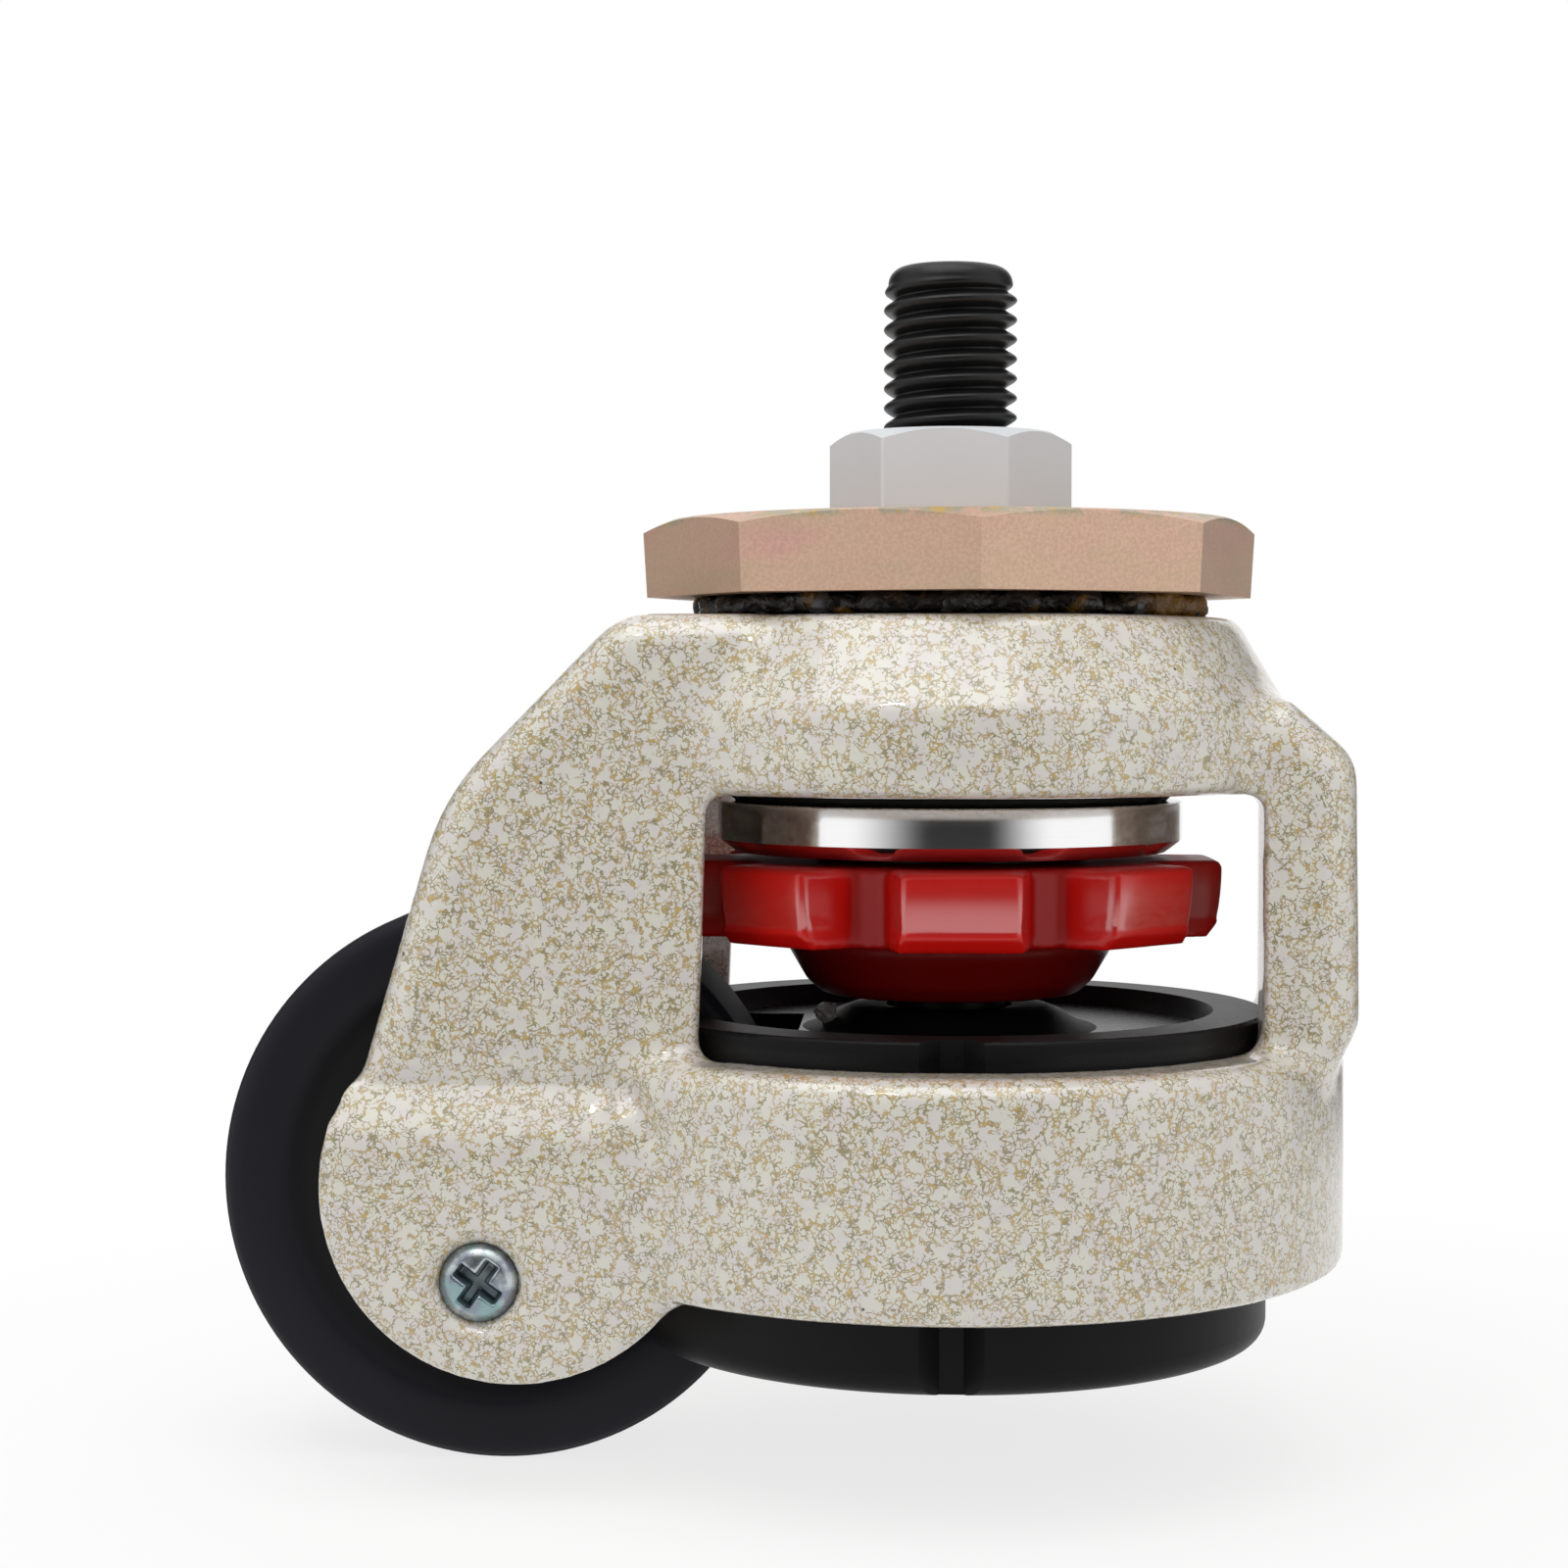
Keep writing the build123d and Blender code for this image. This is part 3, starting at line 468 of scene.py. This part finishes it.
node_finishes = {
    "stem_nut": grey_zinc(),
    "swivel_plate": yellow_zinc(),
    "king_pin": oxide,
    "upper_balls": ground_steel("greased_steel", tone=70, roughness=0.25),
    "lower_balls": steel,
    "upper_track": steel,
    "lower_track": steel,
    "axle": steel,
    "axle_keeper_near": zinc_screw,
    "axle_keeper_far": zinc_screw,
    "thrust_washer_near": steel,
    "thrust_washer_far": steel,
    "wheel_bush": steel,
    "dial_nut": turned_brass(),
    "dial_clip": steel,
    "lift_pad": pad_nylon(),
    "pad_sole": rubber,
    "socket_cup": steel,
    "lift_screw": oxide,
    "socket_clip": steel,
}
for node_name, material in node_finishes.items():
    nodes[node_name].data.materials.clear()
    nodes[node_name].data.materials.append(material)


# ---- pieces ----------------------------------------------------------------------------

def finished_piece(name, bm, material, body, replaced=None, crease=None):
    """Turns a bmesh into a piece that rides on a body, at the origin, with its place in its mesh.

    Its shading is smooth, up to the crease angle where one is given.
    """
    mesh = bpy.data.meshes.new(name)
    bm.to_mesh(mesh)
    bm.free()
    piece = bpy.data.objects.new(name, mesh)
    bpy.context.scene.collection.objects.link(piece)
    mesh.materials.append(material)
    for face in mesh.polygons:
        face.use_smooth = True
    if crease:
        mesh.set_sharp_from_angle(angle=radians(crease))
    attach(piece, body)
    if replaced:
        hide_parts(replaced)
    return piece


def soft_copy(node_name, voxel, passes):
    """A merged copy of a node, rebuilt on an even grid with its edges softened."""
    bm = bmesh.new()
    bm.from_mesh(nodes[node_name].data)
    bmesh.ops.remove_doubles(bm, verts=bm.verts, dist=1e-6)
    mesh = bpy.data.meshes.new(node_name + "_copy")
    bm.to_mesh(mesh)
    bm.free()
    block = bpy.data.objects.new(node_name + "_copy", mesh)
    bpy.context.scene.collection.objects.link(block)
    remesh = block.modifiers.new("remesh", "REMESH")
    remesh.mode = "VOXEL"
    remesh.voxel_size = voxel
    even = block.modifiers.new("even", "SMOOTH")
    even.factor = 0.5
    even.iterations = passes
    evaluated = block.evaluated_get(bpy.context.evaluated_depsgraph_get())
    soft_mesh = bpy.data.meshes.new_from_object(evaluated)
    bpy.data.objects.remove(block)
    bm = bmesh.new()
    bm.from_mesh(soft_mesh)
    for used in (mesh, soft_mesh):
        bpy.data.meshes.remove(used)
    return bm


def turned(profile, centre, axis, outward, steps):
    """A closed ring turned round an axis.

    The profile gives the distance out, in mm, and the distance along the axis, in metres.
    """
    bm = bmesh.new()
    chain = [bm.verts.new(centre + outward * out * MM + axis * along) for out, along in profile]
    edges = [bm.edges.new(pair) for pair in zip(chain, chain[1:] + chain[:1])]
    bmesh.ops.spin(
        bm, geom=chain + edges, cent=centre, axis=axis, angle=2 * pi, steps=steps,
        use_merge=True, use_duplicate=False,
    )
    bmesh.ops.recalc_face_normals(bm, faces=bm.faces)
    return bm


def push_out(v, factor):
    """Moves a vertex away from the swivel axis, or towards it where the factor is under 1."""
    v.co.x *= factor
    v.co.y *= factor


def smooth(bm, verts, passes):
    """Draws each vertex towards its neighbours, a number of times."""
    for _ in range(passes):
        bmesh.ops.smooth_vert(
            bm, verts=verts, factor=0.5, use_axis_x=True, use_axis_y=True, use_axis_z=True
        )


def hollow(v):
    """How far the neighbours' middle stands outside a vertex: more than 0 in a valley."""
    middle = sum((e.other_vert(v).co for e in v.link_edges), Vector()) / len(v.link_edges)
    return (middle - v.co).dot(v.normal)


def round_valleys(bm, inside, sharpness, reach, passes):
    """Fills the inner corners in a region, as far as a number of vertices to either side."""
    picked = {
        v for v in bm.verts
        if inside(v.co.x / MM, abs(v.co.y) / MM, height(v.co.z)) and hollow(v) > sharpness
    }
    for _ in range(reach):
        picked |= {e.other_vert(v) for v in picked for e in v.link_edges}
    smooth(bm, [v for v in bm.verts if v in picked], passes)


def off_segment(point, start, end):
    """Distance of a point from a line between two points, in the plane."""
    start, end, point = Vector(start), Vector(end), Vector(point)
    along = (point - start).dot(end - start) / (end - start).length_squared
    return (point - start - (end - start) * held(along)).length


def housing_casting():
    """The die casting with the soft edges and filled corners that moulding and paint leave on it."""
    bm = soft_copy("housing", 0.6 * MM, passes=4)
    sharpness = 0.02 * MM
    # head against cheeks
    round_valleys(bm, lambda x, y, h: -31 < x < -6 and y > 11 and 60.8 < h < 74.2, sharpness, 5, 45)
    # head against pillar
    round_valleys(bm, lambda x, y, h: x > 19 and y > 8 and 61 < h < 73, sharpness, 4, 50)
    # ring against cheeks, bosses and pillar
    round_valleys(bm, lambda x, y, h: -31 < x < -12 and y > 21 and 35.2 < h < 42, sharpness, 3, 40)
    round_valleys(bm, lambda x, y, h: -31 < x < -20 and y > 23.4 and 20 < h < 33, sharpness, 4, 60)
    round_valleys(bm, lambda x, y, h: x > 22 and hypot(x, y) > 30.5 and 29 < h < 42, sharpness, 3, 40)
    # the ledge slopes out to each boss over a longer drop than its cast edge
    ledge_high, ledge_low = 35.4, 30.6
    cheek_face = 21.6 * MM
    boss_face = max(
        abs(v.co.y) for v in bm.verts if -44 < v.co.x / MM < -36 and 26 < height(v.co.z) < 30
    )
    shaved = []
    for v in bm.verts:
        drop = (ledge_high - height(v.co.z)) / (ledge_high - ledge_low)
        if -52 < v.co.x / MM < -28.2 and -0.3 < drop < 1.2 and abs(v.co.y) > cheek_face - 1 * MM:
            limit = cheek_face + (boss_face - cheek_face) * max(drop, 0)
            if abs(v.co.y) > limit:
                v.co.y = limit if v.co.y > 0 else -limit
            if drop > 0.3:
                shaved.append(v)
    smooth(bm, shaved, 10)
    groove_start, groove_end = (-27.2, 35.6), (-24.6, 31.6)
    groove_depth, groove_width = 0.8 * MM, 0.8
    lip_outer, lip_top, lip_inner, lip_drop = 4.9, 3.7, 3.2, 0.5 * MM
    for v in bm.verts:
        x, y, h = v.co.x / MM, abs(v.co.y) / MM, height(v.co.z)
        side = 1 if v.co.y > 0 else -1
        # a short groove parts the ledge's end from the ring
        if y > 20.5 and -32 < x < -21 and 28 < h < 39:
            away = off_segment((x, h), groove_start, groove_end)
            v.co.y -= side * groove_depth * exp(-(away / groove_width) ** 2)
        # the lip of the counterbore is rolled in
        if y > 23.8:
            reach = hypot(v.co.x - screw_centre.x, v.co.z - screw_centre.z) / MM
            if lip_inner < reach < lip_outer:
                rolled = (lip_outer - max(reach, lip_top)) / (lip_outer - lip_top)
                v.co.y -= side * lip_drop * rolled ** 2
    return finished_piece("enamelled_housing", bm, enamel, "housing", "housing")


def axle_screw(side):
    """Pan-head screw: domed head, cross recess with sloping walls and worn lips."""
    node_name = "axle_screw_" + side
    low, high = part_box(node_name)
    sign = 1 if side == "far" else -1
    face = high.y if side == "far" else low.y
    # the cross recess: how far it is turned, and half its length and width, in mm
    arm_turn = radians(54)
    arm_reach, arm_half_width = 2.15, 0.62
    head_depth, head_radius = 1.7, 3.4
    dent_radius, dent_depth = 2.6, 0.25
    recess_depth, wall_slope, worn_lip = 1.25, 3.4, 0.06
    bm = soft_copy(node_name, 0.12 * MM, passes=3)
    for v in bm.verts:
        depth = sign * (face - v.co.y) / MM
        across = (v.co.x - screw_centre.x) / MM
        up = (v.co.z - screw_centre.z) / MM
        reach = hypot(across, up)
        if depth < head_depth:
            u = abs(across * cos(arm_turn) + up * sin(arm_turn))
            w = abs(up * cos(arm_turn) - across * sin(arm_turn))
            inside = min(arm_reach - max(u, w), arm_half_width - min(u, w))
            dome = 0.07 * min(reach, head_radius) ** 2
            dent = dent_depth * max(1 - reach / dent_radius, 0)
            sunk = held((inside + worn_lip) * wall_slope, 0, recess_depth)
            outside = depth + dome * (1 - depth / head_depth)
            v.co.y = face - sign * MM * max(outside, dome + dent + sunk)
    smooth(bm, [v for v in bm.verts if sign * (face - v.co.y) < 1.6 * MM], 1)
    return finished_piece("pan_head_screw_" + side, bm, zinc_screw, "housing", node_name)


def threaded_stem():
    """The M12 stem: rounded thread from the nut to the domed tip, over a plain core."""
    pitch = 1.75 * MM
    crest, root = 6.0 * MM, 4.93 * MM
    fullness = 0.62
    turns = int((stem_high.z - nut_high.z) / pitch) + 4
    steps, around = 12, 72
    bm = bmesh.new()
    start_z = nut_high.z - 2.15 * pitch
    chain = []
    for i in range(turns * steps + 1):
        wave = 0.5 + 0.5 * cos(2 * pi * i / steps)
        radius = root + (crest - root) * wave ** fullness
        chain.append(bm.verts.new((radius, 0, start_z + pitch * i / steps)))
    edges = [bm.edges.new(pair) for pair in zip(chain, chain[1:])]
    bmesh.ops.spin(
        bm, geom=chain + edges, cent=(0, 0, 0), axis=(0, 0, 1), dvec=(0, 0, pitch / around),
        angle=2 * pi, steps=around, use_merge=False, use_duplicate=False,
    )
    bmesh.ops.remove_doubles(bm, verts=bm.verts, dist=0.02 * MM)
    hidden_end, shown_end = nut_high.z - 0.6 * MM, stem_high.z - 0.01 * MM
    for z, normal in ((hidden_end, (0, 0, -1)), (shown_end, (0, 0, 1))):
        bmesh.ops.bisect_plane(
            bm, geom=bm.verts[:] + bm.edges[:] + bm.faces[:], dist=1e-7,
            plane_co=(0, 0, z), plane_no=normal, clear_outer=True,
        )
    # the thread runs out into a plain tip with a rounded end
    tip_radius, rounding = 5.6 * MM, 1.6 * MM
    runout_start, runout_length = stem_high.z - 2.4 * MM, 0.9 * MM
    for v in bm.verts:
        fade = held((v.co.z - runout_start) / runout_length)
        if fade:
            radius = hypot(v.co.x, v.co.y)
            bend = held((v.co.z - (stem_high.z - rounding)) / rounding)
            wanted = tip_radius - rounding * (1 - (1 - bend * bend) ** 0.5)
            push_out(v, (radius + (wanted - radius) * fade) / radius)
    caps = [e for e in bm.edges if e.is_boundary]
    bmesh.ops.holes_fill(bm, edges=caps, sides=0)
    bmesh.ops.recalc_face_normals(bm, faces=bm.faces)
    return finished_piece("threaded_stem", bm, oxide, "mounting", "stem_stud")


def grease_ring():
    """Grease pressed out over the upper balls, lumpy where each ball pushes it."""
    bm = bmesh.new()
    lumps = 24
    inner, outer, edge = 16.0 * MM, 22.95 * MM, 0.25 * MM
    low = track_high.z + 0.03 * MM
    high = plate_low.z - 0.02 * MM
    profile = [(inner, low), (outer - edge, low)]
    profile += [(outer, low + (high - low) * part) for part in (0.25, 0.5, 0.75)]
    profile += [(outer - edge, high), (inner, high)]
    chain = [bm.verts.new((r, 0, z)) for r, z in profile]
    edges = [bm.edges.new(pair) for pair in zip(chain, chain[1:] + chain[:1])]
    bmesh.ops.spin(
        bm, geom=chain + edges, cent=(0, 0, 0), axis=(0, 0, 1), angle=2 * pi, steps=lumps * 16,
        use_merge=True, use_duplicate=False,
    )
    for v in bm.verts:
        radius = hypot(v.co.x, v.co.y)
        if radius > 20 * MM:
            gap = 0.5 - 0.5 * cos(lumps * atan2(v.co.y, v.co.x))
            lump = noise.noise(v.co * 350) * 0.9 + noise.noise(v.co * 1000) * 0.4
            push_out(v, 1 + (held(lump, -0.3, 0.3) - 0.7 * gap ** 2) * MM / radius)
    bmesh.ops.recalc_face_normals(bm, faces=bm.faces)
    return finished_piece("bearing_grease", bm, grease, "mounting")


def race_gap_bead():
    """The black bead that fills the gap over the bright race, outside its balls."""
    low, high = race_high.z + 0.03 * MM, race_high.z + 0.92 * MM
    inner = 17.9
    profile = [(inner, low), (19.4, low), (19.8, (low + high) / 2), (19.5, high), (inner, high)]
    bm = turned(profile, swivel_centre, upward, forward, 180)
    for v in bm.verts:
        radius = hypot(v.co.x, v.co.y)
        if radius > 19 * MM:
            push_out(v, 1 + 0.35 * MM * noise.noise(v.co * 500) / radius)
    # a plain bead in the black rubber finish fills the gap and draws the dark line there
    return finished_piece("race_gap_bead", bm, rubber, "mounting")


def grease_dab():
    """A dab of grease on the rim of the seal, beside the thumbwheel's cone."""
    bm = bmesh.new()
    bmesh.ops.create_icosphere(bm, subdivisions=5, radius=0.8 * MM)
    bmesh.ops.scale(bm, vec=(1.3, 0.8, 1.1), verts=bm.verts)
    for v in bm.verts:
        v.co *= 1 + 0.5 * noise.noise(v.co * 1500) + 0.25 * noise.noise(v.co * 3500)
    place = (-10.9 * MM, -3.2 * MM, seal_low.z + 1.45 * MM)
    bmesh.ops.translate(bm, vec=place, verts=bm.verts)
    # the dab's pale finish is a painted glint
    return finished_piece("grease_dab", bm, glint_grease(), "foot")


def castor_wheel():
    """The wheel: a tyre band with a rounded shoulder outside and a soft step down to the web."""
    bush_radius = (bush_high.z - bush_low.z) / 2 / MM
    bush_end = bush_high.y / MM
    hub = [(bush_radius, bush_end), (9.0, bush_end), (9.9, 7.6), (10.3, 7.4)]
    web = [(15.0, 7.3), (17.4, 7.35)]
    step = [(18.2, 7.55), (18.9, 8.0), (19.5, 8.32), (20.3, 8.48)]
    band = [(21.5, 8.5), (22.9, 8.48)]
    shoulder = [(23.7, 8.38), (24.3, 8.15), (24.75, 7.75), (24.94, 7.3), (24.98, 6.8)]
    side = hub + web + step + band + shoulder
    profile = side + [(out, -along) for out, along in reversed(side)]
    profile = [(out, along * MM) for out, along in profile]
    bm = turned(profile, wheel_centre, along_axle, upward, 144)
    return finished_piece("castor_wheel", bm, wheel_nylon(), "wheel", "wheel", crease=40)


def bright_race():
    """The bright steel race: a plain mirror edge, a coned underside and a fine chamfer at the top."""
    outer = race_high.x / MM
    bore = 10.8
    low, high = race_low.z, race_high.z
    profile = [
        (bore, low), (outer - 1.5, low), (outer - 0.1, low + 1.0 * MM), (outer, low + 1.15 * MM),
        (outer, high - 0.3 * MM), (outer - 0.08, high - 0.1 * MM), (outer - 0.28, high), (bore, high),
    ]
    bm = turned(profile, swivel_centre, upward, forward, 180)
    return finished_piece(
        "bright_race", bm, bright_steel(), "mounting", "lower_race", crease=25
    )


def rubber_seal():
    """A low rubber skirt that keeps grit out of the pad's ball socket."""
    low, high = seal_low.z, seal_high.z
    profile = [
        (5.7, low), (5.7, high - 0.15 * MM), (7.2, high - 0.03 * MM), (8.8, high - 0.15 * MM),
        (10.2, high - 0.7 * MM), (11.2, low + 0.8 * MM), (12.2, low + 0.3 * MM),
        (13.2, low + 0.06 * MM), (13.3, low),
    ]
    bm = turned(profile, swivel_centre, upward, forward, 96)
    skirt = black_nylon("seal_rubber", roughness=0.5, sheen_level=0.1)
    return finished_piece("rubber_seal", bm, skirt, "foot", "screw_seal", crease=50)


def dial():
    """The red thumbwheel: soft edges, lobe faces crowned and drawn in towards their foot."""
    bm = soft_copy("thumbwheel", 0.34 * MM, passes=5)
    crown_top, crown_foot = dial_high.z - 0.6 * MM, dial_high.z - 5.1 * MM
    draw, chamfer = 0.42 * MM, 0.55 * MM
    lobe_foot, lobe_rise = 20.5, 2.5
    for v in bm.verts:
        radius = hypot(v.co.x, v.co.y)
        lean = held((crown_top - v.co.z) / (crown_top - crown_foot))
        if v.co.z < crown_foot:
            # the chamfer under the lobes takes the draw up again
            lean = max(1 - (crown_foot - v.co.z) / chamfer, 0)
        out = held((radius / MM - lobe_foot) / lobe_rise)
        push_out(v, 1 - draw * out * lean ** 2 / max(radius, MM))
    smooth(bm, [v for v in bm.verts if abs(v.co.z - crown_foot) < 0.8 * MM], 2)
    return finished_piece("red_thumbwheel", bm, red_gloss(), "dial", "thumbwheel")


housing_casting()
castor_wheel()
bright_race()
rubber_seal()
dial()
axle_screw("near")
axle_screw("far")
threaded_stem()
grease_ring()
race_gap_bead()
grease_dab()

# ---- floor, light and camera -----------------------------------------------------------

def studio_tone(shading):
    """The studio's walls by direction: pale screens left, right and behind, with dark gaps."""
    angle = shading.axis("X").math("ARCTAN2", shading.axis("Y") * -1)
    left = angle.ramp(-0.16, -0.92) * (1 - angle.ramp(-1.66, -2.10) * 0.9)
    right = angle.ramp(0.30, 0.90) * (1 - angle.ramp(1.66, 2.10) * 0.9)
    behind = abs(angle).ramp(2.58, 2.80)
    return (left + right).larger(behind) * 0.95 + 0.03


def light_path(shading):
    """1 for camera or transmission rays, and 1 for glossy rays."""
    path = shading.make("ShaderNodeLightPath")
    camera, through, glossy = (
        Value(shading, path.outputs["Is %s Ray" % kind]) for kind in ("Camera", "Transmission", "Glossy")
    )
    return camera.larger(through), glossy


def pale_floor():
    """A pale floor that keeps the castor's soft shadow and runs out into the white surround."""
    bm = bmesh.new()
    bmesh.ops.create_circle(bm, cap_ends=True, radius=6.0, segments=64)
    mesh = bpy.data.meshes.new("floor")
    bm.to_mesh(mesh)
    bm.free()
    floor = bpy.data.objects.new("floor", mesh)
    floor.location.z = floor_z - 0.02 * MM
    bpy.context.scene.collection.objects.link(floor)
    f = Finish("pale_floor", Base_Color=(0.93, 0.93, 0.93, 1), Roughness=0.9, Specular_IOR_Level=0.0)
    distance = f.make("ShaderNodeVectorMath", {"operation": "LENGTH"}, {0: f.place})
    spread = Value(f, distance.outputs["Value"])
    seen, glossy = light_path(f)
    tone = studio_tone(f).larger(spread.ramp(0.34, 0.14) * 0.9)
    shade = f.mix(seen, f.mix(glossy, (0.75, 0.75, 0.75, 1), tone), (1, 1, 1, 1))
    glow = f.make("ShaderNodeEmission", (), {"Color": shade, "Strength": 1.0})
    blend = f.make("ShaderNodeMixShader", (), {"Fac": spread.ramp(0.05, 0.16) * 0.22 + 0.78})
    f.tree.links.new(f.shader.outputs["BSDF"], blend.inputs[1])
    f.tree.links.new(glow.outputs["Emission"], blend.inputs[2])
    f.tree.links.new(blend.outputs["Shader"], f.tree.nodes["Material Output"].inputs["Surface"])
    mesh.materials.append(f.material)


def area_light(name, place, target, width, depth, power, in_gloss=True):
    """A soft lamp turned to a target; one that is not in_gloss stays out of reflections."""
    data = bpy.data.lights.new(name, "AREA")
    data.shape = "RECTANGLE"
    data.size = width
    data.size_y = depth
    data.energy = power
    lamp = bpy.data.objects.new(name, data)
    lamp.location = place
    lamp.visible_glossy = in_gloss
    lamp.rotation_euler = (Vector(target) - Vector(place)).to_track_quat("-Z", "Y").to_euler()
    bpy.context.scene.collection.objects.link(lamp)


def white_surround():
    """White to the eye, plain light on the object, and the studio's pale screens in metal and gloss."""
    world = bpy.data.worlds.new("surround")
    bpy.context.scene.world = world
    world.use_nodes = True
    sky = Shading(world.node_tree)
    seen, glossy = light_path(sky)
    overhead = sky.axis("Z").ramp(0.45, 0.80)
    tone = studio_tone(sky)
    tone = tone + (0.95 - tone) * overhead
    plain = seen * 0.53 + 0.47
    background = sky.tree.nodes["Background"]
    background.inputs["Color"].default_value = (1, 1, 1, 1)
    sky.feed(background.inputs["Strength"], plain + (tone - plain) * glossy)


def set_camera():
    """The viewer stands square to the wheel's side, a little above the middle."""
    camera_data = bpy.data.cameras.new("camera")
    camera_data.sensor_width = 36.0
    camera_data.lens = 69.76
    camera_data.clip_start = 0.01
    camera = bpy.data.objects.new("camera", camera_data)
    camera.location = (-2.31 * MM, -274.98 * MM, floor_z + 68.89 * MM)
    turn_left = radians(2.641)
    look_down = radians(1.872)
    camera.rotation_euler = (pi / 2 - look_down, 0, turn_left)
    bpy.context.scene.collection.objects.link(camera)
    bpy.context.scene.camera = camera


pale_floor()
white_surround()
middle = (0, 0, floor_z + 50 * MM)
area_light("top_soft", (-0.04, -0.12, 0.45), middle, 0.5, 0.4, 1.28)
area_light("key_small", (-0.14, -0.30, 0.38), middle, 0.05, 0.03, 0.12)
area_light("front_left", (-0.45, -0.45, 0.12), middle, 0.25, 0.5, 0.35, in_gloss=False)
area_light("front_right", (0.45, -0.45, 0.12), middle, 0.25, 0.5, 0.35, in_gloss=False)
area_light("back_rim", (0.0, 0.5, 0.35), middle, 0.6, 0.3, 0.5, in_gloss=False)
set_camera()
bpy.context.scene.view_settings.view_transform = "Standard"
